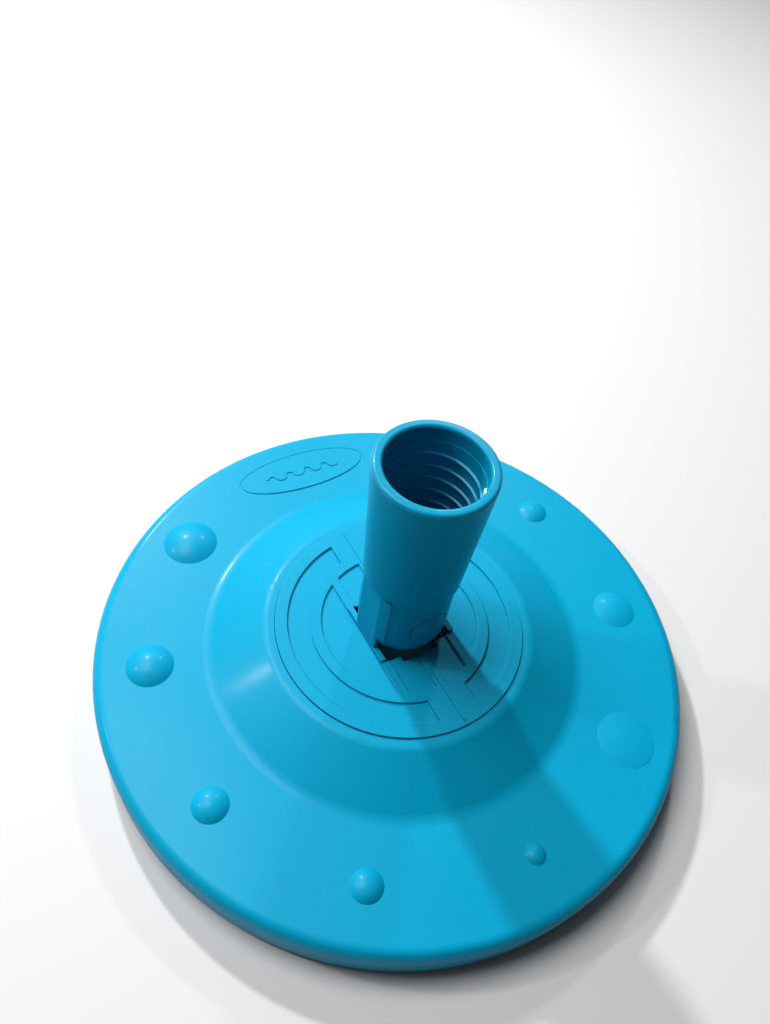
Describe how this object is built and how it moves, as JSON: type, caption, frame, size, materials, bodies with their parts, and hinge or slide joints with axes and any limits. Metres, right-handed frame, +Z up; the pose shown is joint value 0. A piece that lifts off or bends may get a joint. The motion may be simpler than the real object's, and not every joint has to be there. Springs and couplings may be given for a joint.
{
  "type": "pool vacuum head",
  "caption": "Round weighted pool vacuum head with domed deck, brush strips below and a tilting threaded hose socket.",
  "frame": {"origin": "centre of the head on the plane that the bristle tips rest on", "axes": "+Z up along the disc axis, +Y towards the badge, the socket tilts about an axis parallel to X"},
  "size_m": [0.3, 0.3, 0.1549],
  "materials": {
    "shell_plastic": "satin",
    "seal_rubber": "matt",
    "bristle_nylon": "fine",
    "brush_plastic": "satin",
    "screw_steel": "plain",
    "ballast_iron": "coated",
    "bush_acetal": "smooth",
    "pin_acetal": "smooth"
  },
  "bodies": {
    "head": {"head_shell": "shell_plastic", "pivot_plate": "shell_plastic", "plate_gasket": "seal_rubber", "plate_screws": "screw_steel", "left_bush": "bush_acetal", "right_bush": "bush_acetal", "suction_duct": "shell_plastic", "duct_seal": "seal_rubber", "base_plate": "shell_plastic", "base_screws": "screw_steel", "ballast_1": "ballast_iron", "ballast_2": "ballast_iron", "ballast_3": "ballast_iron", "ballast_4": "ballast_iron", "brush_back_1": "brush_plastic", "brush_back_2": "brush_plastic", "brush_back_3": "brush_plastic", "brush_back_4": "brush_plastic", "brush_back_5": "brush_plastic", "brush_back_6": "brush_plastic", "bristles_1": "bristle_nylon", "bristles_2": "bristle_nylon", "bristles_3": "bristle_nylon", "bristles_4": "bristle_nylon", "bristles_5": "bristle_nylon", "bristles_6": "bristle_nylon"},
    "socket": {"hose_socket": "shell_plastic", "pivot_key": "shell_plastic", "left_pin": "pin_acetal", "right_pin": "pin_acetal", "hose_washer": "seal_rubber"}
  },
  "joints": [
    {"name": "socket_tilt", "type": "hinge", "parent": "head", "child": "socket", "pos_m": [0, 0, 0.0535], "axis": [1, 0, 0], "range_deg": [-55, 55]}
  ]
}
